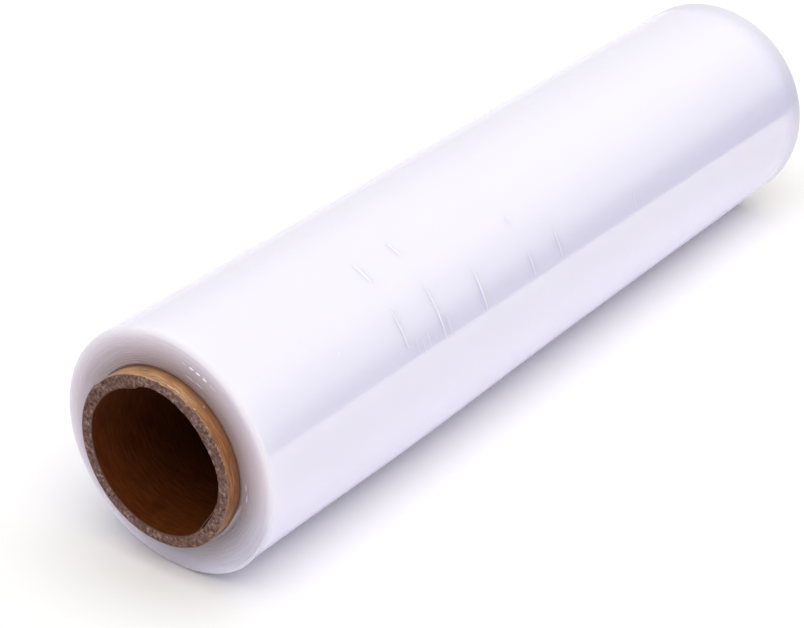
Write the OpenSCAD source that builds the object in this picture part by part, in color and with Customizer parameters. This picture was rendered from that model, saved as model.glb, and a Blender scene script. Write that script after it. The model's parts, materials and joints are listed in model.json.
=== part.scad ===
// Hand roll of stretch wrap, lying on its side.
// A long film is wound on a paperboard core. The film is narrower than the core, so the core's
// two ends stand proud of it and take a dispenser's mandrel or a pair of hand grips.
// The roll's axis lies along X. Z = 0 is the surface that the roll rests on.

/* [Core] */
// Bore of the core, the common three-inch size
core_bore = 76; // [50:0.5:92]
// Thickness of the core's wall, all its plies together
core_wall = 5.5; // [3:0.1:11]
// Length of core that stands proud of the film at each end
core_proud = 9; // [3:0.5:40]
// Chamfer round the outside of each cut end, where the knife pressed the outer ply in
cut_ease = 0.5; // [0.1:0.1:1.4]
// Chamfer at each mouth of the bore, where the fibres of the inner ply are rubbed back
mouth_ease = 0.8; // [0.1:0.1:1.4]

/* [Film] */
// Width of the film
film_w = 500; // [100:1:1000]
// Diameter of the wound film
film_d = 124; // [112:1:260]
// Rounding of the wound film's two edges
rim_r = 2; // [0.5:0.1:5]
// Width of the flat spot that the roll's own weight presses into its underside
rest_w = 14; // [4:0.5:30]

/* [End faces] */
// Smooth band of outer turns, between the rounded edge and the turns that stand out
land_w = 2; // [0.5:0.1:4]
// Radial step from one raised turn to the next
turn_pitch = 1.2; // [0.8:0.1:3]
// Height of a raised turn above the valley beside it
turn_relief = 0.3; // [0.1:0.05:0.8]
// Depth by which the first turns on the core sit back from the face
nip_depth = 1.4; // [0.9:0.1:4]
// Width of the band of first turns that sits back
nip_w = 1.2; // [0.6:0.1:2.5]

/* [Hidden] */
$fn = 64;

// Clear width that is left beside the raised turns, and the depth of the floor that they rise from
turn_clear = 0.1;
turn_floor = turn_relief + 0.15;
// The raised turns reach this far down into the film, to be one body with it
turn_root = 1;

core_r = core_bore / 2 + core_wall;
core_l = film_w + 2 * core_proud;
film_r = film_d / 2;
land_r = film_r - rim_r - land_w;
nip_r = core_r + nip_w;
// The flat spot lowers the axis a little
axis_h = sqrt(pow(film_r, 2) - pow(rest_w / 2, 2));

// A spiral is drawn as half turns about two centres, one on each side of the axis. Each half
// turn is half a step wider than the one before it, so its ends meet those of its neighbours.
centre_off = turn_pitch / 4;
spiral_r = nip_r + turn_clear + centre_off;
spiral_room = land_r - turn_clear - centre_off - turn_pitch / 2 - spiral_r;
turns = floor(spiral_room / turn_pitch);

// Turns a shape that stands on Z onto the roll's own axis
module lay_down() {
    translate([0, 0, axis_h])
        rotate([0, 90, 0])
            children();
}

// Both ends alike: the second is the first turned end for end
module both_ends() {
    children();
    rotate([180, 0, 0])
        children();
}

// Section of the core's wall, from the axis outwards
function core_section() =
    let (r = core_bore / 2, h = core_l / 2)
    [
        [r, h - mouth_ease],
        [r + mouth_ease, h],
        [core_r - cut_ease, h],
        [core_r, h - cut_ease],
        [core_r, cut_ease - h],
        [core_r - cut_ease, -h],
        [r + mouth_ease, -h],
        [r, mouth_ease - h]
    ];

// Upper outline of the film's section: the sunk first turns, the floor of the raised turns,
// the smooth outer land and the rounded edge
function film_outline() =
    let (h = film_w / 2)
    concat(
        [
            [core_r, h - nip_depth],
            [nip_r, h - turn_floor],
            [land_r, h - turn_floor],
            [land_r + turn_clear, h]
        ],
        [for (a = [90:-15:0]) [film_r - rim_r + rim_r * cos(a), h - rim_r + rim_r * sin(a)]]
    );

function mirrored(outline) = [for (i = [len(outline) - 1:-1:0]) [outline[i].x, -outline[i].y]];

// Section of the raised turns of one half of the spiral, which starts at radius r
function turns_section(r) =
    let (h = film_w / 2)
    concat(
        [[r, h - turn_root]],
        [for (k = [0:turns - 1]) each [
            [r + k * turn_pitch, h - turn_relief],
            [r + (k + 0.3) * turn_pitch, h],
            [r + (k + 0.7) * turn_pitch, h]
        ]],
        [
            [r + turns * turn_pitch, h - turn_relief],
            [r + turns * turn_pitch, h - turn_root]
        ]
    );

// Turns of film that stand out on one end face, as one continuous spiral
module raised_turns() {
    for (half = [0, 1])
        translate([(half - 0.5) * 2 * centre_off, 0, 0])
            rotate_extrude(angle = 180, start = 180 * half)
                polygon(turns_section(spiral_r + half * turn_pitch / 2));
}

// Spiral-wound paperboard tube, glued up from plies into one wall and cut to length
module core() {
    color([0.66, 0.50, 0.33])
        lay_down()
            rotate_extrude()
                polygon(core_section());
}

// Film wound tight on the core, all its turns as one body, with the flat spot underneath
module film() {
    color([0.93, 0.92, 0.96])
        difference() {
            lay_down() {
                rotate_extrude()
                    polygon(concat(film_outline(), mirrored(film_outline())));
                both_ends()
                    raised_turns();
            }
            translate([-core_l / 2, -film_r, -film_d])
                cube([core_l, film_d, film_d]);
        }
}

core();
film();
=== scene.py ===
import json
import math
import random

import bmesh
import bpy
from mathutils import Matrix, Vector, noise


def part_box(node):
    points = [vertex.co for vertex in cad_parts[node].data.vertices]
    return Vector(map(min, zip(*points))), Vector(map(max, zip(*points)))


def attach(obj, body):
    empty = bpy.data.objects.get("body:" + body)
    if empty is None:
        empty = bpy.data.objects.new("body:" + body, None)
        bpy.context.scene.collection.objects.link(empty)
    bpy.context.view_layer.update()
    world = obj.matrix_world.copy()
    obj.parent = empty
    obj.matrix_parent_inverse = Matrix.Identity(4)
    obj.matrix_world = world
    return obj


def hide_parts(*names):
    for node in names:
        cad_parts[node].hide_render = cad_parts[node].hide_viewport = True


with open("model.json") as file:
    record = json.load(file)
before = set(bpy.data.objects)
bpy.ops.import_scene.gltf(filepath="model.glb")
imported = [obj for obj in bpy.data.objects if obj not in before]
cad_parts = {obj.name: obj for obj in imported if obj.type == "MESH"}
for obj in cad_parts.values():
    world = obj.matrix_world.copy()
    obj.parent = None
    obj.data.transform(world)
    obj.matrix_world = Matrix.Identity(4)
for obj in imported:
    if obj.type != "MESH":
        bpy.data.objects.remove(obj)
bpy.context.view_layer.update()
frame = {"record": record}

scene = bpy.context.scene
scene.view_settings.view_transform = "Standard"

# Camera. It stands about a metre off the roll's left end, on the side that faces the viewer, and
# looks down on the roll. Its place and lens were fitted to the photograph's outline of the roll.
CAMERA_PLACE = Vector((-0.8595, -0.5837, 0.5980))
CAMERA_AZIMUTH = math.radians(-53.53)
CAMERA_TILT = math.radians(29.01)
CAMERA_LENS = 97.8

camera_data = bpy.data.cameras.new("camera")
camera_data.lens = CAMERA_LENS
camera = bpy.data.objects.new("camera", camera_data)
camera.location = CAMERA_PLACE
camera.rotation_euler = (math.pi / 2 - CAMERA_TILT, 0, CAMERA_AZIMUTH)
scene.collection.objects.link(camera)
scene.camera = camera


# Studio. The roll lies on a white table whose front edge shows in the glossy film as a crisp line.
# White light comes from above and all round, and past the table's edge the room is dim.
class Wire:
    """One output of a node. Sums and products of wires add Math nodes to the same tree."""

    def __init__(self, tree, socket=None):
        self.tree = tree
        self.socket = socket

    def node(self, kind, settings=None, inlets=None, outlet=0):
        """Adds a node. Its settings come first, then the values or wires of its inlets."""
        made = self.tree.nodes.new(kind)
        for name, value in (settings or {}).items():
            if name == "stops":
                spread_stops(made.color_ramp, value)
            else:
                setattr(made, name, value)
        for name, value in (inlets or {}).items():
            if isinstance(value, Wire):
                self.tree.links.new(value.socket, made.inputs[name])
            else:
                made.inputs[name].default_value = value
        return Wire(self.tree, made.outputs[outlet])

    def maths(self, operation, *values):
        return self.node("ShaderNodeMath", {"operation": operation}, dict(enumerate(values)))

    def step(self, start, end):
        """Goes smoothly from 0 at start to 1 at end."""
        return self.node(
            "ShaderNodeMapRange",
            {"interpolation_type": "SMOOTHSTEP"},
            {"Value": self, "From Min": start, "From Max": end},
        )

    def blend(self, low, high):
        """A colour that goes from low to high as this wire goes from 0 to 1."""
        return self.node("ShaderNodeMix", {"data_type": "RGBA"}, {0: self, 6: low, 7: high}, 2)

    def split(self):
        """The three parts of a vector."""
        return [self.node("ShaderNodeSeparateXYZ", {}, {0: self}, axis) for axis in range(3)]

    def join(self, x, y, z):
        return self.node("ShaderNodeCombineXYZ", {}, {0: x, 1: y, 2: z})

    def __add__(self, other):
        return self.maths("ADD", self, other)

    def __radd__(self, other):
        return self.maths("ADD", other, self)

    def __sub__(self, other):
        return self.maths("SUBTRACT", self, other)

    def __rsub__(self, other):
        return self.maths("SUBTRACT", other, self)

    def __mul__(self, other):
        return self.maths("MULTIPLY", self, other)

    def __rmul__(self, other):
        return self.maths("MULTIPLY", other, self)

    def __truediv__(self, other):
        return self.maths("DIVIDE", self, other)

    def __pow__(self, other):
        return self.maths("POWER", self, other)


def spread_stops(ramp, stops):
    """Gives a colour ramp its stops, each a place and a colour."""
    while len(ramp.elements) > 1:
        ramp.elements.remove(ramp.elements[-1])
    ramp.elements[0].position = stops[0][0]
    ramp.elements[0].color = stops[0][1]
    for place, colour in stops[1:]:
        ramp.elements.new(place).color = colour


# The table's white as the camera sees it, a little brighter than paper because the photograph is
# overexposed, then as the glossy film mirrors it, and as it lights the roll
TABLE_SEEN = (1.018, 1.014, 0.972, 1)
TABLE_MIRRORED = (1.060, 1.055, 1.120, 1)
TABLE_COLOUR = (0.97, 0.95, 0.99, 1)
TABLE_SIDE = 3.0
# The table's right edge, as a line on the floor: Y where X is 0, and its slope
EDGE_AT = -0.728
EDGE_SLOPE = 0.869
SKY_COLOUR = (0.965, 0.955, 1.0, 1)
SKY_STRENGTH = 0.38
# Mirrored room: sine of the height above the horizon, and the light there, blue where it is dim
ROOM_STOPS = [
    (0.00, (0.03, 0.05, 0.46)),
    (0.05, (0.11, 0.13, 0.52)),
    (0.12, (0.38, 0.40, 0.72)),
    (0.18, (0.67, 0.69, 0.92)),
    (0.26, (0.85, 0.87, 1.04)),
    (0.38, (1.01, 1.02, 1.13)),
    (0.46, (1.14, 1.15, 1.20)),
    (0.56, (1.38, 1.39, 1.42)),
    (0.70, (1.33, 1.34, 1.37)),
    (1.00, (1.04, 1.05, 1.06)),
]
# Mirrored sky on every other side, near the horizon and overhead
SKY_STOPS = [(0.30, (1.00, 0.99, 1.02)), (0.60, (1.28, 1.27, 1.30))]
MIRROR_BRIGHTEST = 1.5
# The dim room's middle direction, and how far from it the dimness starts to fade and has gone
ROOM_AZIMUTH = math.radians(-20)
ROOM_CORE = math.radians(22)
ROOM_SPREAD = math.radians(40)
LAMP_STRENGTH = 2.22
LAMP_COLOUR = (0.985, 0.980, 1.0)
LAMP_ANGLE = math.radians(70)
LAMP_FROM = Vector((-0.10, -0.25, 1.0))


def table_corner(x):
    return (x, EDGE_AT + EDGE_SLOPE * x, 0)


table_mesh = bpy.data.meshes.new("table")
table_mesh.from_pydata(
    [
        table_corner(-TABLE_SIDE),
        table_corner(TABLE_SIDE),
        (TABLE_SIDE, 2 * TABLE_SIDE, 0),
        (-2 * TABLE_SIDE, 2 * TABLE_SIDE, 0),
        (-2 * TABLE_SIDE, EDGE_AT - EDGE_SLOPE * TABLE_SIDE, 0),
    ],
    [],
    [(0, 1, 2, 3, 4)],
)
table = bpy.data.objects.new("table", table_mesh)
scene.collection.objects.link(table)

table_finish = bpy.data.materials.new("table_white")
table_finish.use_nodes = True
wire = Wire(table_finish.node_tree)
seen = wire.node("ShaderNodeLightPath", outlet="Is Camera Ray")
mirrored = wire.node("ShaderNodeLightPath", outlet="Is Glossy Ray")
shown = mirrored.blend(seen.blend(TABLE_COLOUR, TABLE_SEEN), TABLE_MIRRORED)
paper = shown.node("ShaderNodeBsdfDiffuse", {}, {"Color": shown})
table_output = table_finish.node_tree.nodes["Material Output"]
table_finish.node_tree.links.new(paper.socket, table_output.inputs["Surface"])
table_finish.node_tree.nodes.remove(table_finish.node_tree.nodes["Principled BSDF"])
table_mesh.materials.append(table_finish)

world = bpy.data.worlds.new("studio")
world.use_nodes = True
scene.world = world
wire = Wire(world.node_tree)
look_x, look_y, look_z = wire.node("ShaderNodeTexCoord", outlet="Generated").split()
level = (look_x * look_x + look_y * look_y + 1e-6) ** 0.5
toward_room = (look_x * math.cos(ROOM_AZIMUTH) + look_y * math.sin(ROOM_AZIMUTH)) / level
room_side = toward_room.step(math.cos(ROOM_SPREAD), math.cos(ROOM_CORE))


def mirror_shade(stops):
    """Light of the mirrored surroundings by height, as a share of the brightest."""
    dimmed = [(place, [part / MIRROR_BRIGHTEST for part in light] + [1]) for place, light in stops]
    return look_z.node("ShaderNodeValToRGB", {"stops": dimmed}, {0: look_z})


mirror_colour = room_side.blend(mirror_shade(SKY_STOPS), mirror_shade(ROOM_STOPS))
seen = wire.node("ShaderNodeLightPath", outlet="Is Camera Ray")
mirrored = wire.node("ShaderNodeLightPath", outlet="Is Glossy Ray")
background = world.node_tree.nodes["Background"]
colour = mirrored.blend(seen.blend(SKY_COLOUR, (1, 1, 1, 1)), mirror_colour)
world.node_tree.links.new(colour.socket, background.inputs["Color"])
strength = seen + mirrored * MIRROR_BRIGHTEST + (1 - seen - mirrored) * SKY_STRENGTH
world.node_tree.links.new(strength.socket, background.inputs["Strength"])

lamp_data = bpy.data.lights.new("softbox", "SUN")
lamp_data.energy = LAMP_STRENGTH
lamp_data.color = LAMP_COLOUR
lamp_data.angle = LAMP_ANGLE
lamp = bpy.data.objects.new("softbox", lamp_data)
lamp.rotation_euler = LAMP_FROM.to_track_quat("Z", "Y").to_euler()
lamp.visible_glossy = False
scene.collection.objects.link(lamp)


# Core board. The core is a spiral-wound tube: plies of grey chipboard glued into one wall, with a
# ply of brown kraft paper outside and inside. A saw cut it to length, and left its ends rough,
# pressed in at some places and torn at others.
bore_mount = next(m for m in frame["record"]["mounts"] if m["name"] == "core_bore")
AXIS_H = bore_mount["pos_m"][2]
BORE_R = bore_mount["dims"]["r_mm"] / 1000
core_low, core_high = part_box("core")
CORE_R = (core_high.z - core_low.z) / 2
CORE_HALF = core_high.x
# Thickness of a kraft ply, and the gap that keeps it off the board
PLY = 0.00035
PLY_GAP = 0.00005
# Points round the board, and rings across its cut
AROUND = 720
CUT_STEPS = 18
# The rough cut: its roughness, how deep the pits go, and how far its two edges are rounded off
CUT_ROUGH = 0.00016
CUT_PITS = 0.003
CUT_ROUND = 0.0002
# The cut's coarse grain, its fine grain and its pits, in waves per metre
CUT_GRAINS = (650, 1500, 380)
# Raggedness of the torn edge and of the bore's mouth: sizes in metres, and waves in a turn
TORN_RAGGED = ((0.0005, 90), (0.0004, 260))
MOUTH_RAGGED = ((0.00012, 150), (0.0001, 420))
# How far bare board stands up where the outer ply was, and how fuzzy it is
FUZZ_RISE = 0.00012
FUZZ_ROUGH = 0.00014
# How far behind the cut the wear of its edge and of the bore's mouth reaches, and the depth at
# which a mouth that is torn wide has closed to the bore
EDGE_REACH = 0.0011
MOUTH_REACH = 0.0055
MOUTH_EVEN = 0.003
# Half the width over which paper gives way to bare board
TORN_BLUR = 0.0003
# A hair's breadth that keeps one surface off another
HAIR = 0.0001
# Depths behind the cut, in millimetres, at which the wall's outside and inside have a ring
SHOULDER_DEPTHS = (14, 5, 3.4, 2.8, 2.4, 2.1, 1.8, 1.5, 1.2, 0.9, 0.65, 0.45, 0.28, 0.12)
MOUTH_DEPTHS = (0.15, 0.4, 0.8, 1.3, 2, 3, 4.5, 6.5, 9, 14)
# How the left end is worn: degrees from the top, positive to the viewer's side, and millimetres.
# MOUTH is the radius of the bore's mouth, EDGE that of the cut's outer edge, BARE the width over
# which the outer ply is torn off behind it, and FLAP how far the inner ply stands off the board.
MOUTH = (
    (-180, 37.8), (-72, 37.9), (-58, 37.2), (-30, 36.6), (-17, 36.2), (-13, 36.4), (-9, 37.7),
    (0, 38.6), (12, 38.9), (32, 38.4), (60, 38.1), (80, 38.9), (100, 38.3), (109, 37.4),
    (116, 36.7), (124, 36.2), (131, 36.6), (137, 37.4), (150, 37.7), (180, 37.8),
)
EDGE = (
    (-180, 43.5), (-120, 43.6), (-62, 43.7), (-50, 43.7), (-45, 42.9), (-41, 43.1), (-12, 43.0),
    (4, 43.1), (60, 43.2), (112, 43.4), (128, 43.8), (142, 44.0), (158, 43.7), (180, 43.5),
)
BARE = (
    (-180, 0), (-16, 0), (2, 0.8), (20, 1.2), (31, 1.3), (38, 1.9), (46, 1.3), (78, 1.2),
    (94, 0.5), (106, 0), (180, 0),
)
FLAP = ((-180, 0), (108, 0), (118, 0.5), (128, 0.85), (136, 0), (180, 0))
# The right end is worn the same way, turned round by this angle
RIGHT_TURN = math.radians(140)


def left_angle(end, angle):
    """The angle at the left end that is worn as this one is at its own end."""
    return angle if end < 0 else RIGHT_TURN - angle


def worn(knots, end, angle):
    """Reads a smooth line through knots of degrees and millimetres, and gives metres."""
    turned = math.degrees(math.remainder(left_angle(end, angle), 2 * math.pi))
    for (start, low), (stop, high) in zip(knots, knots[1:]):
        if turned <= stop:
            part = (turned - start) / (stop - start)
            return (low + (high - low) * part * part * (3 - 2 * part)) / 1000
    return knots[-1][1] / 1000


def smooth(start, stop, value):
    """Goes smoothly from 0 at start to 1 at stop."""
    part = min(1.0, max(0.0, (value - start) / (stop - start)))
    return part * part * (3 - 2 * part)


def spreads_off(angle, middle, spread):
    """How far an angle lies from the middle of a spot, counted in the spot's spreads."""
    return math.remainder(angle - middle, 2 * math.pi) / spread


def at(x, radius, angle):
    """A point on the roll, its angle from the top and positive to the viewer's side."""
    return Vector((x, -radius * math.sin(angle), AXIS_H + radius * math.cos(angle)))


def face_outward(mesh):
    """Turns the faces of a closed shape outward."""
    shape = bmesh.new()
    shape.from_mesh(mesh)
    bmesh.ops.recalc_face_normals(shape, faces=shape.faces)
    shape.to_mesh(mesh)
    shape.free()


def skin(name, rings):
    """A closed surface through rings of points, the last ring joined to the first."""
    points = [point for ring in rings for point in ring]
    around = len(rings[0])
    faces = []
    for i in range(len(rings)):
        here = i * around
        there = (i + 1) % len(rings) * around
        for j in range(around):
            k = (j + 1) % around
            faces.append((here + j, here + k, there + k, there + j))
    mesh = bpy.data.meshes.new(name)
    mesh.from_pydata(points, [], faces)
    face_outward(mesh)
    mesh.polygons.foreach_set("use_smooth", [True] * len(mesh.polygons))
    made = bpy.data.objects.new(name, mesh)
    scene.collection.objects.link(made)
    return made


def jitter(end, angle, waves, shift=0.0):
    """Noise that closes on itself round the core, with about this many waves in a turn."""
    reach = waves / 6.3
    return noise.noise(
        Vector((reach * math.cos(angle), reach * math.sin(angle), 5 * end + shift))
    )


def ragged(sizes, end, angle):
    """Jitter of several sizes together."""
    return sum(size * jitter(end, angle, waves) for size, waves in sizes)


def cut_relief(end, radius, angle):
    """How far the rough cut stands off its plane, along X."""
    coarse, fine, pitted = CUT_GRAINS
    spot = Vector((radius * math.cos(angle), radius * math.sin(angle), end * 0.1))
    rough = noise.noise(spot * coarse) + 0.7 * noise.noise(spot * fine)
    pit = max(0.0, noise.noise(spot * pitted + Vector((7, 3, 1))) - 0.36)
    return CUT_ROUGH * rough - CUT_PITS * pit


def bare_width(end, angle):
    """How far behind the cut the outer ply is torn off."""
    width = worn(BARE, end, angle)
    return width + ragged(TORN_RAGGED, end, angle) * smooth(0.0, 2 * TORN_BLUR, width)


def edge_press(depth):
    """Share of the cut edge's wear that is left at this depth behind the cut."""
    return math.exp(-((depth / EDGE_REACH) ** 2))


def mouth_press(depth):
    """Share of the mouth's wear that is left at this depth behind the cut."""
    return math.exp(-((depth / MOUTH_REACH) ** 2))


def shoulder_radius(end, depth, angle):
    """The board's outer radius: under the outer ply, or laid bare and fuzzy near the cut."""
    bare = 1 - smooth(-TORN_BLUR, TORN_BLUR, depth - bare_width(end, angle))
    fuzz = noise.noise(at(end * (CORE_HALF - depth), CORE_R, angle) * 1300)
    radius = CORE_R - PLY - PLY_GAP + bare * (PLY + FUZZ_RISE + FUZZ_ROUGH * fuzz)
    return radius + (worn(EDGE, end, angle) - CORE_R + HAIR) * edge_press(depth)


def mouth_radius(end, depth, angle):
    """The board's inner radius: behind the inner ply, or worn back at the mouth."""
    mouth = worn(MOUTH, end, angle)
    lined = 1 - smooth(-TORN_BLUR, TORN_BLUR, mouth - BORE_R)
    mouth += worn(FLAP, end, angle) + HAIR + (PLY + PLY_GAP - HAIR) * lined
    mouth += ragged(MOUTH_RAGGED, end, angle)
    lining = BORE_R + PLY + PLY_GAP
    if mouth < lining:
        return lining + (mouth - lining) * mouth_press(depth)
    return lining + (mouth - lining) * (1 - smooth(0.0, MOUTH_EVEN, depth))


def board_end(end):
    """Rings from the outside of the wall, over the cut, to the inside of the bore."""
    angles = [2 * math.pi * j / AROUND for j in range(AROUND)]
    rings = []
    for depth in SHOULDER_DEPTHS:
        d = depth / 1000
        rings.append([at(end * (CORE_HALF - d), shoulder_radius(end, d, a), a) for a in angles])
    for i in range(CUT_STEPS + 1):
        part = i / CUT_STEPS
        ring = []
        for a in angles:
            outer = shoulder_radius(end, 0.0, a) - HAIR
            radius = outer + (mouth_radius(end, 0.0, a) - outer) * part
            round_off = CUT_ROUND * (2 * part - 1) ** 6
            ring.append(at(end * (CORE_HALF - round_off + cut_relief(end, radius, a)), radius, a))
        rings.append(ring)
    for depth in MOUTH_DEPTHS:
        d = depth / 1000
        rings.append([at(end * (CORE_HALF - d), mouth_radius(end, d, a), a) for a in angles])
    return rings


board = skin("core_board", board_end(1) + board_end(-1)[::-1])


def new_finish(name, **plain):
    """A material and its Principled shader. plain holds what is the same all over."""
    material = bpy.data.materials.new(name)
    material.use_nodes = True
    shader = material.node_tree.nodes["Principled BSDF"]
    for socket, value in plain.items():
        shader.inputs[socket.replace("_", " ")].default_value = value
    return material, shader, Wire(material.node_tree)


def feed(shader, wire, socket):
    wire.tree.links.new(wire.socket, shader.inputs[socket])


board_finish, shader, wire = new_finish("grey_chipboard", Roughness=0.92, Specular_IOR_Level=0.2)
place = wire.node("ShaderNodeTexCoord", outlet="Object")
fleck = wire.node("ShaderNodeTexNoise", {}, {"Vector": place, "Scale": 620.0, "Detail": 4.0})
blotch = wire.node("ShaderNodeTexNoise", {}, {"Vector": place, "Scale": 190.0, "Detail": 2.0})
tone = fleck.node(
    "ShaderNodeValToRGB",
    {"stops": [
        (0.30, (0.072, 0.034, 0.022, 1)),
        (0.45, (0.162, 0.090, 0.065, 1)),
        (0.58, (0.235, 0.140, 0.110, 1)),
        (0.70, (0.400, 0.280, 0.235, 1)),
    ]},
    {0: fleck},
)
tone = (blotch.step(0.42, 0.7) * 0.45).blend(tone, (0.135, 0.076, 0.055, 1))
feed(shader, tone, "Base Color")
grain = wire.node(
    "ShaderNodeBump", {}, {"Height": fleck, "Strength": 0.6, "Distance": 0.0004}
)
feed(shader, grain, "Normal")
board.data.materials.append(board_finish)
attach(board, "root")
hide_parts("core")


# Kraft plies. A strip of brown paper is wound outside the board and one inside, each as a helix
# whose edges meet in a thin seam. They were cut with the board, and are torn and bent with it.

# Length of core in which the strip goes round once, and the open width of its seam
PLY_LEAD = 0.120
PLY_SEAM = 0.00016
PLY_RINGS = 200
PLY_AROUND = 240
# Where the two seams cross the middle of the roll
OUTER_SEAM = math.radians(70)
INNER_SEAM = math.radians(46)
# Past this depth behind the cut a ply lies as it was wound
WEAR_REACH = 0.016
# Share of the bare board's width from which the outer ply is gone, and how far the torn edge that
# is left is pressed in
OUTER_TORN = 0.75
TORN_PRESS = 0.00025
# The inner ply is torn back by this many times the width by which the mouth is worn, and unevenly
INNER_TORN = 2.2
INNER_RAGGED = 0.0006


def value_of(tree):
    """Gives each input of a geometry tree by its name, as a wire."""
    given = tree.nodes.new("NodeGroupInput")
    return lambda name: Wire(tree, given.outputs[name])


def new_tree(name, inputs, geometry=True):
    """A geometry tree with number inputs of these names, a finish, and one result."""
    tree = bpy.data.node_groups.new(name, "GeometryNodeTree")
    sockets = tree.interface
    sockets.new_socket("Geometry", in_out="OUTPUT", socket_type="NodeSocketGeometry")
    if geometry:
        sockets.new_socket("Geometry", in_out="INPUT", socket_type="NodeSocketGeometry")
    for label in inputs:
        sockets.new_socket(label, in_out="INPUT", socket_type="NodeSocketFloat")
    sockets.new_socket("Finish", in_out="INPUT", socket_type="NodeSocketMaterial")
    return tree, Wire(tree), value_of(tree)


def tree_at(x, radius, angle, axis_height):
    """The same point as at() gives, in a geometry tree."""
    y = 0 - radius * angle.maths("SINE", angle)
    z = axis_height + radius * angle.maths("COSINE", angle)
    return angle.join(x, y, z)


def close_tree(tree, shape, finish):
    """Ends a tree: real geometry only, with its finish."""
    solid = shape.node("GeometryNodeRealizeInstances", {}, {0: shape})
    solid = shape.node("GeometryNodeSetMaterial", {}, {0: solid, "Material": finish})
    tree.links.new(solid.socket, tree.nodes.new("NodeGroupOutput").inputs[0])


def wind_tree():
    """Geometry nodes that wind a ply into a tube with a helical seam, finer near its ends."""
    tree, wire, value = new_tree(
        "wind_ply", ("Radius", "Lead", "Seam", "Half Length", "Axis Height", "Seam Angle"), False
    )
    strip = wire.node(
        "GeometryNodeMeshGrid",
        {},
        {"Size X": 2.0, "Size Y": 1.0, "Vertices X": PLY_RINGS, "Vertices Y": PLY_AROUND},
    )
    along, across, _ = wire.node("GeometryNodeInputPosition").split()
    inset = 1 - along.maths("ABSOLUTE", along)
    x = along.maths("SIGN", along) * (1 - inset.maths("MAXIMUM", inset, 0.0) ** 1.4)
    x = x * value("Half Length")
    whole = 2 * math.pi - value("Seam") / value("Radius")
    angle = (across + 0.5) * whole + x * (2 * math.pi) / value("Lead") + value("Seam Angle")
    place = tree_at(x, value("Radius"), angle, value("Axis Height"))
    wound = wire.node("GeometryNodeSetPosition", {}, {0: strip, "Position": place})
    wound = wire.node("GeometryNodeSetShadeSmooth", {}, {0: wound})
    close_tree(tree, wound, value("Finish"))
    return tree


def bake(made, modifier):
    """Gives an object the shape that its modifier makes, as a plain mesh."""
    view = bpy.context.evaluated_depsgraph_get()
    plain = bpy.data.meshes.new_from_object(made.evaluated_get(view))
    made.modifiers.remove(modifier)
    made.data = plain


def grown(name, tree, values, start=None):
    """Runs a geometry tree with the given inputs and returns the result as an object."""
    mesh = start or bpy.data.meshes.new(name)
    made = bpy.data.objects.new(name, mesh)
    scene.collection.objects.link(made)
    modifier = made.modifiers.new(name, "NODES")
    modifier.node_group = tree
    for socket in tree.interface.items_tree:
        if socket.in_out == "INPUT" and socket.name in values:
            modifier[socket.identifier] = values[socket.name]
    bake(made, modifier)
    return made


# A shallow dent runs along the outer ply from the cut; at the left end a dark line of painted
# shade lies along it
DENT_ANGLE = math.radians(-49)
DENT_SPREAD = math.radians(3.0)
DENT_DEPTH = 0.0001


def outer_wear(end, depth, angle):
    """Depth and radius that a point of the outer ply gets near the cut."""
    torn = HAIR + OUTER_TORN * bare_width(end, angle)
    shift = (worn(EDGE, end, angle) - CORE_R + 2 * HAIR) * edge_press(depth)
    off = spreads_off(left_angle(end, angle), DENT_ANGLE, DENT_SPREAD)
    shift -= DENT_DEPTH * math.exp(-(off ** 2))
    pressed = -TORN_PRESS * smooth(0.0, 0.0005, torn) * edge_press(depth - torn)
    return max(depth, torn), CORE_R + shift + pressed


def inner_wear(end, depth, angle):
    """Depth and radius that a point of the inner ply gets near the mouth."""
    mouth = worn(MOUTH, end, angle) + ragged(MOUTH_RAGGED[:1], end, angle)
    uneven = INNER_RAGGED * jitter(end, angle, 60, 2.0)
    torn = max(HAIR, INNER_TORN * (mouth - BORE_R) + uneven)
    return max(depth, torn), BORE_R + min(0.0, mouth - BORE_R) * mouth_press(depth)


def bend_ply(made, wear):
    """Tears and bends a ply's two ends as the cut's wear says."""
    for vertex in made.data.vertices:
        x, y, z = vertex.co
        depth = CORE_HALF - abs(x)
        if depth < WEAR_REACH:
            end = math.copysign(1, x)
            angle = math.atan2(-y, z - AXIS_H)
            depth, radius = wear(end, depth, angle)
            vertex.co = at(end * (CORE_HALF - depth), radius, angle)


def thicken(made, thickness):
    """Gives an open tube of paper its thickness, away from the axis, or toward it if negative."""
    modifier = made.modifiers.new("thickness", "SOLIDIFY")
    modifier.thickness = thickness
    modifier.offset = -1
    bake(made, modifier)
    face_outward(made.data)


def kraft_base(name, shine):
    """Kraft paper: a shader, its fibres drawn out round the tube, and a slow cloud of stains."""
    material, shader, wire = new_finish(name, Specular_IOR_Level=shine)
    place = wire.node("ShaderNodeTexCoord", outlet="Object")
    x, y, z = place.split()
    drawn = wire.join(x * 1100, y * 130, z * 130)
    fibre = wire.node("ShaderNodeTexNoise", {}, {"Vector": drawn, "Scale": 1.0, "Detail": 4.0})
    cloud = wire.node("ShaderNodeTexNoise", {}, {"Vector": place, "Scale": 120.0, "Detail": 3.0})
    fuzz = wire.node(
        "ShaderNodeBump", {}, {"Height": fibre, "Strength": 0.35, "Distance": 0.0002}
    )
    feed(shader, fuzz, "Normal")
    return material, shader, (x, y, z), fibre, cloud


def toward(y, z, angle):
    """How far a point lies from the axis in the direction of an angle from the top."""
    return (z - AXIS_H) * math.cos(angle) - y * math.sin(angle)


# The cut itself colours the plies from the first of these places along the core to the second
SAWN_FROM = CORE_HALF - 0.0006
SAWN_TO = CORE_HALF - 0.0002
# Beside the film the outer ply has painted shade, full up to the first of these places and none
# past the second
FILM_SHADE_FULL_TO = CORE_HALF - 0.0092
FILM_SHADE_NONE_FROM = CORE_HALF - 0.0048
# The middle of the side that painted shade makes browner
SIDE_SHADE_ANGLE = math.radians(78)
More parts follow.
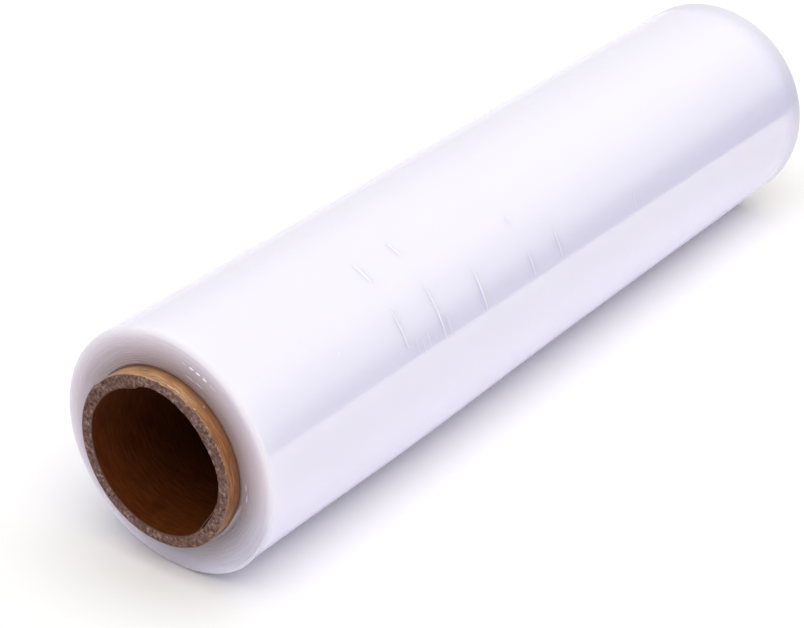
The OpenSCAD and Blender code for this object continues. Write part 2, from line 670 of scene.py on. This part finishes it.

# Outside: painted shade makes it paler at the top, browner on the viewer's side and dull brown
# beside the film, with a dark line of painted shade in the dent and a grey-brown edge where it is
# cut
outer_kraft, shader, (x, y, z), fibre, cloud = kraft_base("outer_kraft", 0.5)
drift = cloud - 0.5
# Painted shade: browner toward the viewer's side, where less light falls
side_shade = (toward(y, z, SIDE_SHADE_ANGLE) + 0.012 * drift).step(0.55 * CORE_R, 0.95 * CORE_R)
tone = (fibre + 0.5 * drift).step(0.28, 0.72).blend(
    (0.36, 0.168, 0.062, 1), (0.57, 0.310, 0.135, 1)
)
ruddy = fibre.step(0.35, 0.65).blend((0.200, 0.070, 0.022, 1), (0.37, 0.150, 0.045, 1))
tone = (side_shade * 0.9).blend(tone, ruddy)
from_middle = x.maths("ABSOLUTE", x)
# Painted shade: the ply darkens toward the film beside it
film_shade = 1 - (from_middle + 0.003 * drift).step(FILM_SHADE_FULL_TO, FILM_SHADE_NONE_FROM)
tone = (film_shade * 0.9).blend(tone, (0.190, 0.095, 0.062, 1))
# Painted shade: a dark line along the dent at the left end
dent_shade = (toward(y, z, DENT_ANGLE) + 0.0012 * drift).step(0.990 * CORE_R, 0.9995 * CORE_R)
dent_shade = dent_shade * (0 - x).step(0.0, CORE_HALF) * (0.4 + 0.6 * fibre)
tone = dent_shade.blend(tone, (0.075, 0.032, 0.022, 1))
sawn = (from_middle + 0.0008 * (fibre - 0.5)).step(SAWN_FROM, SAWN_TO)
tone = (sawn * 0.8).blend(tone, (0.175, 0.105, 0.078, 1))
feed(shader, tone, "Base Color")
feed(shader, 0.34 + 0.25 * fibre, "Roughness")

# Inside: ruddy, and much darker than the outer ply as painted shade of the dim bore, with a paler
# edge where it is cut
inner_kraft, shader, (x, _, _), fibre, cloud = kraft_base("inner_kraft", 0.12)
tone = fibre.step(0.3, 0.7).blend((0.088, 0.019, 0.003, 1), (0.135, 0.034, 0.006, 1))
tone = (cloud.step(0.45, 0.75) * 0.5).blend(tone, (0.066, 0.013, 0.002, 1))
sawn = x.maths("ABSOLUTE", x).step(SAWN_FROM, SAWN_TO)
tone = (sawn * 0.85).blend(tone, (0.150, 0.088, 0.064, 1))
feed(shader, tone, "Base Color")
feed(shader, 0.75 + 0.15 * fibre, "Roughness")

wind_ply = wind_tree()
for name, radius, seam, wear, finish, thickness in (
    ("outer_ply", CORE_R, OUTER_SEAM, outer_wear, outer_kraft, -PLY),
    ("inner_ply", BORE_R, INNER_SEAM, inner_wear, inner_kraft, PLY),
):
    ply = grown(
        name,
        wind_ply,
        {
            "Radius": radius,
            "Lead": PLY_LEAD,
            "Seam": PLY_SEAM,
            "Half Length": CORE_HALF,
            "Axis Height": AXIS_H,
            "Seam Angle": seam,
            "Finish": finish,
        },
    )
    bend_ply(ply, wear)
    thicken(ply, thickness)
    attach(ply, "root")
    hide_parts("core")


# Torn fibres. Chips and slivers of paper stand up where the saw and hard use tore the core's ends:
# pale ones along the torn edge of the outer ply, and short grey ones on the cut itself.
FIBRE_SEED = 7
FIBRE_COUNT = 190
FIBRE_THICK = 0.00008
# How far above the ply, or behind the cut, a small fibre's middle lies
FIBRE_CLEAR = 0.00005
# The ranges of a small fibre's length and width
FIBRE_LENGTHS = (0.0004, 0.0013)
FIBRE_WIDTHS = (0.00008, 0.0002)
# Chips that lie along the torn edge at the left end, large enough to be told apart: degrees from
# the top, then depth behind the cut, length and width in millimetres, slant in degrees, how pale.
# The palest, near 15 and 20 degrees, are paler still as a painted highlight.
CHIPS = (
    (-9.0, 4.7, 4.0, 0.7, 38, 0.24), (-6.0, 3.3, 4.4, 0.7, 55, 0.26),
    (-1.5, 2.6, 5.2, 0.8, 76, 0.30), (4.0, 2.3, 5.4, 0.9, 88, 0.32),
    (9.5, 2.2, 5.4, 0.9, 92, 0.35), (15.0, 2.3, 5.2, 1.0, 96, 0.52),
    (20.0, 2.7, 4.8, 1.0, 104, 0.48), (24.5, 3.2, 4.4, 0.9, 114, 0.36),
    (29.0, 3.8, 4.0, 0.7, 124, 0.28), (33.0, 4.6, 2.8, 0.6, 136, 0.24),
    (37.0, 7.2, 1.4, 0.9, 165, 0.36), (35.0, 2.4, 1.6, 0.7, 60, 0.40),
    (48.0, 1.6, 1.6, 0.6, 75, 0.38), (62.0, 1.5, 1.4, 0.6, 80, 0.34),
    (77.0, 1.6, 1.6, 0.5, 80, 0.30),
)
CHIP_UNITS = (math.radians(1), 0.001, 0.001, 0.001, math.radians(1), 1)
# How far above the outer ply a chip's middle lies, and how much it curls up along its length
CHIP_CLEAR = 0.00008
CHIP_CURL = 0.06
# What each point carries for the chip or fibre that grows on it
FIBRE_COLUMNS = ("end", "angle", "depth", "radius", "length", "width", "slant", "curl", "tone")


def fibre_rows():
    """One row of FIBRE_COLUMNS, in metres and radians, for every chip and every small fibre."""
    draw = random.Random(FIBRE_SEED)
    found = []
    for chip in CHIPS:
        angle, depth, length, width, slant, tone = [
            part * unit for part, unit in zip(chip, CHIP_UNITS)
        ]
        radius = CORE_R + CHIP_CLEAR
        found.append((-1, angle, depth, radius, length, width, slant, CHIP_CURL, tone))
    for i in range(FIBRE_COUNT):
        end = -1 if i % 2 else 1
        angle = draw.uniform(-math.pi, math.pi)
        slant = math.radians(draw.gauss(90, 30))
        length = draw.uniform(*FIBRE_LENGTHS)
        width = draw.uniform(*FIBRE_WIDTHS)
        torn = bare_width(end, angle)
        if torn > TORN_BLUR:
            depth = torn + draw.gauss(0, 0.0002)
            radius, tone = CORE_R + FIBRE_CLEAR, draw.uniform(0.3, 0.9)
        else:
            depth, radius, tone = FIBRE_CLEAR, worn(EDGE, end, angle), draw.uniform(0.0, 0.5)
        found.append((end, angle, depth, radius, length, width, slant, draw.uniform(0, 0.5), tone))
    return found


def scatter_points(name, columns, rows):
    """A mesh of loose points that carry one number for each column."""
    points = bpy.data.meshes.new(name)
    points.from_pydata([(0, 0, 0)] * len(rows), [], [])
    for column, label in enumerate(columns):
        held = points.attributes.new(label, "FLOAT", "POINT")
        held.data.foreach_set("value", [row[column] for row in rows])
    return points


def given(wire, name):
    return wire.node("GeometryNodeInputNamedAttribute", {"data_type": "FLOAT"}, {"Name": name})


def strewn(wire, points, along, across):
    """One flat box for each given point, with so many vertices along and across it."""
    box = wire.node(
        "GeometryNodeMeshCube",
        {},
        {"Size": (1, 2, 1), "Vertices X": along, "Vertices Y": across, "Vertices Z": 2},
    )
    boxes = wire.node("GeometryNodeInstanceOnPoints", {}, {"Points": points, "Instance": box})
    return wire.node("GeometryNodeRealizeInstances", {}, {0: boxes})


def fibre_tree():
    """Geometry nodes that lay one curled chip of paper on the core for each given point."""
    tree, wire, value = new_tree("lay_fibres", ("Half Length", "Axis Height", "Thickness"))
    chips = strewn(wire, value("Geometry"), 7, 3)
    along, across, up = wire.node("GeometryNodeInputPosition").split()
    taper = (1.05 - 4 * along * along) ** 0.5
    run = along * given(wire, "length")
    aside = across * given(wire, "width") * 0.5 * taper
    slant = given(wire, "slant")
    cosine, sine = slant.maths("COSINE", slant), slant.maths("SINE", slant)
    curl = given(wire, "curl") * given(wire, "length") * (along + 0.5) ** 2
    radius = given(wire, "radius") + curl + up * value("Thickness")
    angle = given(wire, "angle") + (run * sine + aside * cosine) / given(wire, "radius")
    inward = given(wire, "depth") + run * cosine - aside * sine
    x = given(wire, "end") * (value("Half Length") - inward)
    place = tree_at(x, radius, angle, value("Axis Height"))
    laid = wire.node("GeometryNodeSetPosition", {}, {0: chips, "Position": place})
    close_tree(tree, laid, value("Finish"))
    return tree


fibre_finish, shader, wire = new_finish("torn_paper", Roughness=0.8, Specular_IOR_Level=0.3)
# How pale a chip is: the torn paper's own paleness, and on the chips near 15 and 20 degrees a
# painted highlight too
pale_and_highlight = wire.node("ShaderNodeAttribute", {"attribute_name": "tone"}, outlet="Fac")
feed(shader, pale_and_highlight.blend((0.26, 0.16, 0.11, 1), (0.86, 0.66, 0.46, 1)), "Base Color")
fibres = grown(
    "torn_fibres",
    fibre_tree(),
    {
        "Half Length": CORE_HALF,
        "Axis Height": AXIS_H,
        "Thickness": FIBRE_THICK,
        "Finish": fibre_finish,
    },
    scatter_points("fibre_points", FIBRE_COLUMNS, fibre_rows()),
)
face_outward(fibres.data)
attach(fibres, "root")


# Wound film. Clear stretch film lies in hundreds of turns on the core and goes milky in the mass.
# Its end faces show the turns as a fine spiral, its edges are rounded, and its underside is
# pressed flat where the roll rests.
film_low, film_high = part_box("film")
FILM_R = (film_high.y - film_low.y) / 2
FILM_HALF = film_high.x
# The rounded edge: its height, and its length along the roll at the left end and at the right
RIM_R = 0.0024
RIM_LEFT = 0.0042
RIM_RIGHT = 0.0044
# The first turns on the core: their width, and how far they sit back from the face
NIP_W = 0.0012
NIP_DEPTH = 0.0004
# The spiral on the end faces, and how softly it starts beside the core and ends at the rim
TURN_PITCH = 0.0012
TURN_HEIGHT = 0.00016
TURNS_START = 0.0008
TURNS_END = 0.002
# Only what lies within this of the film's ends belongs to the end faces
FACE_DEPTH = 0.0005
# Points round the film, and rings over an end face, its rounded edge and the wound surface
FILM_AROUND = 384
FACE_STEPS = 70
RIM_STEPS = 12
BODY_STEPS = 56
# The left rim is crisp on the viewer's side and below
CRISP_ANGLE = math.radians(118)
CRISP_SPREAD = math.radians(62)
CRISP_SHARE = 0.72
# The soft roll bulges a little above the table, toward its left end
SAG_ANGLE = math.radians(134)
SAG_SPREAD = math.radians(22)
SAG_HEIGHT = 0.00125
SAG_PLACE = -0.120
SAG_LENGTH = 0.085
# The loose outer turns at the left end spread a little where the roll meets the table
LIP_ANGLE = math.radians(136)
LIP_SPREAD = math.radians(20)
LIP_HEIGHT = 0.0011
LIP_WIDTH = 0.006
# There a tongue of the first turns also slid out along the core
TONGUE_ANGLE = math.radians(124)
TONGUE_SPREAD = math.radians(15)
TONGUE_LENGTH = 0.0017
TONGUE_WIDTH = 0.0026
# The film's own end shows as a low step along the back of the roll
TAIL_ANGLE = math.radians(-112)
TAIL_STEP = 0.00018


def film_section(rim):
    """Outline of half of the film's section, from the core to the middle of the wound surface."""
    half = FILM_HALF
    first = CORE_R + NIP_W
    last = FILM_R - RIM_R
    outline = [(half - NIP_DEPTH, CORE_R), (half - 0.3 * NIP_DEPTH, CORE_R + 0.4 * NIP_W)]
    for i in range(FACE_STEPS + 1):
        outline.append((half, first + (last - first) * i / FACE_STEPS))
    for i in range(1, RIM_STEPS + 1):
        turn = math.pi / 2 * i / RIM_STEPS
        outline.append((half - rim * (1 - math.cos(turn)), last + RIM_R * math.sin(turn)))
    for i in range(1, BODY_STEPS // 2 + 1):
        outline.append(((half - rim) * (1 - (2 * i / BODY_STEPS) ** 0.8), FILM_R))
    return outline


def sunk(x, angle):
    """How far the wound surface lies under its full radius. The film's own end makes a step."""
    tail = TAIL_ANGLE + 0.01 * math.sin(23 * x)
    return TAIL_STEP * ((angle - tail) / (2 * math.pi) % 1)


def film_ring(x, radius):
    """One ring of the film's skin, with the loose turns, and flat where it meets the table."""
    at_left = x < 0
    at_left_rim = x < RIM_LEFT - FILM_HALF and radius > FILM_R - 1.01 * RIM_R
    ring = []
    for j in range(FILM_AROUND):
        angle = math.pi + 2 * math.pi * j / FILM_AROUND
        place, swell, reach = x, 0.0, radius
        if at_left_rim:
            off = spreads_off(angle, CRISP_ANGLE, CRISP_SPREAD)
            crisp = CRISP_SHARE * math.exp(-(off ** 4))
            place -= (x + FILM_HALF) * crisp
            reach += (FILM_R - radius) * crisp
        if radius > FILM_R - RIM_R:
            off = spreads_off(angle, SAG_ANGLE, SAG_SPREAD)
            along = (x - SAG_PLACE) / SAG_LENGTH
            swell = SAG_HEIGHT * math.exp(-off * off - along * along) - sunk(x, angle)
        if at_left and radius > FILM_R - 3 * RIM_R:
            off = spreads_off(angle, LIP_ANGLE, LIP_SPREAD)
            near = max(0.0, 1 - (x + FILM_HALF) / LIP_WIDTH)
            swell += LIP_HEIGHT * math.exp(-off * off) * near * near
        if at_left and radius < CORE_R + TONGUE_WIDTH:
            off = spreads_off(angle, TONGUE_ANGLE, TONGUE_SPREAD)
            near = 1 - smooth(0.4, 1.0, (radius - CORE_R) / TONGUE_WIDTH)
            place -= (TONGUE_LENGTH + NIP_DEPTH) * math.exp(-(off ** 4)) * near
        point = at(place, reach + swell, angle)
        point.z = max(point.z, 0.0)
        ring.append(point)
    return ring


right = film_section(RIM_RIGHT)
left = [(-x, radius) for x, radius in film_section(RIM_LEFT)[-2::-1]]
film_skin = skin("film_skin", [film_ring(x, radius) for x, radius in right + left])


def turns_tree():
    """Geometry nodes that carve the spiral of turns into the film's two end faces."""
    tree, wire, value = new_tree(
        "wind_film",
        ("Turn Pitch", "Turn Height", "Face Start", "Face End", "Half Width", "Axis Height"),
    )
    x, y, z = wire.node("GeometryNodeInputPosition").split()
    up = z - value("Axis Height")
    radius = (y * y + up * up) ** 0.5
    turn_part = wire.maths("ARCTAN2", y, up) / (2 * math.pi)
    side = x.maths("SIGN", x)
    spiral = radius / value("Turn Pitch") - side * turn_part
    count = spiral.maths("FLOOR", spiral)
    across = spiral - count
    wound = count + side * turn_part
    uneven = wire.node(
        "ShaderNodeTexNoise",
        {"noise_dimensions": "1D"},
        {"W": wound * 2.3 + side * 40, "Scale": 1.0, "Detail": 2.0},
    )
    crown = 1 - (2 * across - 1) ** 2
    face = radius.step(value("Face Start"), value("Face Start") + TURNS_START)
    face = face * (1 - radius.step(value("Face End") - TURNS_END, value("Face End")))
    depth = value("Turn Height") * (0.35 + 1.6 * uneven) * (1 - crown) * face
    depth = depth * x.maths("GREATER_THAN", side * x, value("Half Width") - FACE_DEPTH)
    moved = wire.node(
        "GeometryNodeSetPosition",
        {},
        {0: value("Geometry"), "Offset": wire.join(0 - side * depth, 0.0, 0.0)},
    )
    close_tree(tree, moved, value("Finish"))
    return tree


FILM_BODY = (0.858, 0.840, 0.990, 1)
# Beside the rounded edge at the right end the film is painted darker, as shade for the light lost
# through that end
FILM_RIM_SHADE = (0.700, 0.700, 0.720, 1)
RIM_SHADE_BAND = (FILM_HALF - 0.024, FILM_HALF - 0.004)
# Round each end the look changes from the wound surface's to the end face's
FACE_BAND = (FILM_HALF - 0.0035, FILM_HALF - 0.0008)
# Colours of the end faces, from the core out to the rim. They darken toward the core, partly the
# brown core seen through the film and partly painted shade beside the proud core.
FACE_STOPS = [
    (0.00, (0.360, 0.255, 0.225, 1)),
    (0.07, (0.395, 0.295, 0.285, 1)),
    (0.22, (0.420, 0.320, 0.330, 1)),
    (0.45, (0.560, 0.465, 0.485, 1)),
    (0.80, (0.770, 0.695, 0.730, 1)),
    (1.00, (0.880, 0.840, 0.890, 1)),
]
# On the viewer's side, toward the table, they're darker. These are the colours near the core and
# at the rim.
SHADE_ANGLE = math.radians(152)
FACE_SHADES = ((0.220, 0.190, 0.215, 1), (0.640, 0.640, 0.720, 1))

film_finish, shader, wire = new_finish(
    "milky_film",
    IOR=2.1,
    Subsurface_Weight=1.0,
    Subsurface_Scale=0.012,
    Subsurface_Radius=(1.0, 0.95, 1.05),
)
place = wire.node("ShaderNodeTexCoord", outlet="Object")
x, y, z = place.split()
up = z - AXIS_H
radius = (y * y + up * up) ** 0.5
on_face = x.maths("ABSOLUTE", x).step(*FACE_BAND)
depth_in = (radius - CORE_R) / (FILM_R - CORE_R)
# In part painted shade: the end face darkens toward the core
face_tone = wire.node("ShaderNodeValToRGB", {"stops": FACE_STOPS}, {0: depth_in})
fine_turns = wire.node(
    "ShaderNodeTexNoise",
    {"noise_dimensions": "1D"},
    {"W": radius * 2600, "Scale": 1.0, "Detail": 3.0},
)
face_tone = (fine_turns.step(0.45, 0.75) * 0.18).blend(face_tone, (0.90, 0.87, 0.92, 1))
shaded = (toward(y, z, SHADE_ANGLE) / radius).step(0.30, 0.95) * 0.80
shade_tone = depth_in.step(0.1, 0.9).blend(*FACE_SHADES)
face_tone = shaded.blend(face_tone, shade_tone)
# Painted shade: the film darkens toward the rounded edge at its right end
rim_shade = x.step(*RIM_SHADE_BAND)
body_tone = (rim_shade * 0.85).blend(FILM_BODY, FILM_RIM_SHADE)
feed(shader, on_face.blend(body_tone, face_tone), "Base Color")
drawn = wire.join(x * 260, y * 9, z * 9)
wrinkle = wire.node("ShaderNodeTexNoise", {}, {"Vector": drawn, "Scale": 1.0, "Detail": 3.0})
feed(shader, 0.10 + 0.28 * on_face + 0.25 * rim_shade + 0.03 * wrinkle, "Roughness")
stretch = wire.node(
    "ShaderNodeBump", {}, {"Height": wrinkle, "Strength": 0.12, "Distance": 0.0004}
)
feed(shader, stretch, "Normal")

film = grown(
    "film_roll",
    turns_tree(),
    {
        "Turn Pitch": TURN_PITCH,
        "Turn Height": TURN_HEIGHT,
        "Face Start": CORE_R + NIP_W,
        "Face End": FILM_R - RIM_R,
        "Half Width": FILM_HALF,
        "Axis Height": AXIS_H,
        "Finish": film_finish,
    },
    film_skin.data,
)
bpy.data.objects.remove(film_skin)
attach(film, "root")
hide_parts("film")

# Creases and loose edges. Where the film was pinched in winding, short creases run round the roll,
# and on the left end face some turns stand out. Each is a low tapered ridge, its white partly
# stress whitening and partly a painted highlight, and on the end face's bright bits a painted
# glint.
CREASE_STEPS = 48
# How deep each ridge is rooted in the film, and how far its upper edges lie under the surface
RIDGE_ROOT = 0.0003
RIDGE_EDGE = 0.000004
# Place along the roll in millimetres, first and last angle in degrees, width and height in
# millimetres, and how white the crease is, partly as a painted highlight
CREASES = (
    (-140.3, 22, 34, 1.5, 0.10, 1.0), (-113.3, 21, 30, 1.4, 0.09, 1.0),
    (-141.5, 48, 67, 1.2, 0.05, 0.9), (-135.0, 65, 72, 0.5, 0.03, 0.8),
    (-130.5, 67, 73, 0.4, 0.03, 0.8), (-126.0, 65, 72, 0.5, 0.03, 0.8),
    (-121.0, 66, 72, 0.4, 0.03, 0.8), (-113.8, 46, 73, 1.3, 0.05, 0.92),
    (-109.0, 64, 73, 0.6, 0.03, 0.8), (-79.0, 52, 74, 1.4, 0.05, 0.92),
    (-36.0, 59, 73, 1.0, 0.04, 0.85), (-11.0, 56, 73, 1.0, 0.04, 0.85),
    (-38.0, 41, 45, 0.8, 0.03, 0.8), (-184.0, 51, 53, 0.8, 0.03, 0.7),
    (62.0, 66, 74, 0.4, 0.03, 0.8), (96.0, -62, -44, 1.0, 0.05, 0.9),
    (21.0, -108, -90, 1.0, 0.05, 0.9), (-88.0, -84, -70, 0.8, 0.05, 0.9),
)
# Radius on the left end face, and the rest as above: the bright bits of one loose turn, white as
# a painted glint, and longer faint edges
FACE_EDGES = (
    (53.8, 18.5, 21.2, 1.1, 0.45, 1.0), (53.9, 22.7, 25.3, 1.1, 0.45, 1.0),
    (54.0, 26.9, 29.7, 1.15, 0.45, 1.0), (53.6, 13.5, 16.5, 0.7, 0.20, 0.6),
    (53.4, 8.0, 12.5, 0.5, 0.10, 0.4), (54.2, 32.0, 36.0, 0.6, 0.15, 0.5),
    (48.4, 17.0, 24.0, 0.6, 0.12, 0.3), (48.8, 24.5, 30.0, 0.7, 0.12, 0.35),
    (47.2, 88.0, 93.0, 0.7, 0.12, 0.3), (47.8, 95.0, 100.0, 0.8, 0.12, 0.3),
    (58.3, 92.0, 150.0, 0.4, 0.05, 0.35), (56.8, 14.0, 58.0, 0.35, 0.05, 0.35),
    (52.4, -70.0, -20.0, 0.35, 0.05, 0.2), (59.4, -10.0, 46.0, 0.35, 0.05, 0.45),
    (60.2, 104.0, 138.0, 0.6, 0.15, 0.55), (61.3, 106.0, 142.0, 0.7, 0.25, 0.8),
)


def ridge_tree():
    """Geometry nodes that lay one tapered ridge for each given point, on body or end face."""
    tree, wire, value = new_tree(
        "lay_ridges", ("Film Radius", "Half Width", "Axis Height", "Root")
    )
    ridges = strewn(wire, value("Geometry"), CREASE_STEPS, 5)
    along, across, up = wire.node("GeometryNodeInputPosition").split()
    taper = 1 - 4 * along * along
    taper = taper.maths("MAXIMUM", taper, 0.0) ** 0.6
    angle = given(wire, "start") + (given(wire, "stop") - given(wire, "start")) * (along + 0.5)
    aside = given(wire, "place") + across * given(wire, "width") * 0.5 * (0.15 + 0.85 * taper)
    crest = given(wire, "height") * taper * (1 - across * across) - RIDGE_EDGE
    rise = (up + 0.5) * (crest + value("Root")) - value("Root")
    on_face = given(wire, "on_face")
    wound = value("Film Radius") - given(wire, "sunk") + rise
    radius = on_face * aside + (1 - on_face) * wound
    x = (1 - on_face) * aside - on_face * (value("Half Width") + rise)
    place = tree_at(x, radius, angle, value("Axis Height"))
    laid = wire.node("GeometryNodeSetPosition", {}, {0: ridges, "Position": place})
    close_tree(tree, laid, value("Finish"))
    return tree


ridge_finish, shader, wire = new_finish("pinched_film_and_glints", IOR=1.4, Roughness=0.5)
# How white a ridge is: on the creases partly stress whitening and partly painted highlight, on the
# end face's bright bits a painted glint
white = wire.node("ShaderNodeAttribute", {"attribute_name": "white"}, outlet="Fac")
feed(shader, white.blend((0.52, 0.48, 0.56, 1), (0.95, 0.94, 1.0, 1)), "Base Color")

RIDGE_COLUMNS = ("place", "start", "stop", "width", "height", "white", "on_face", "sunk")
RIDGE_UNITS = (0.001, math.radians(1), math.radians(1), 0.001, 0.001, 1)
rows = []
for listed, on_face in ((CREASES, 0.0), (FACE_EDGES, 1.0)):
    for row in listed:
        row = [part * unit for part, unit in zip(row, RIDGE_UNITS)]
        rows.append(row + [on_face, sunk(row[0], (row[1] + row[2]) / 2)])
ridges = grown(
    "film_creases",
    ridge_tree(),
    {
        "Film Radius": FILM_R,
        "Half Width": FILM_HALF,
        "Axis Height": AXIS_H,
        "Root": RIDGE_ROOT,
        "Finish": ridge_finish,
    },
    scatter_points("ridge_points", RIDGE_COLUMNS, rows),
)
face_outward(ridges.data)
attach(ridges, "root")
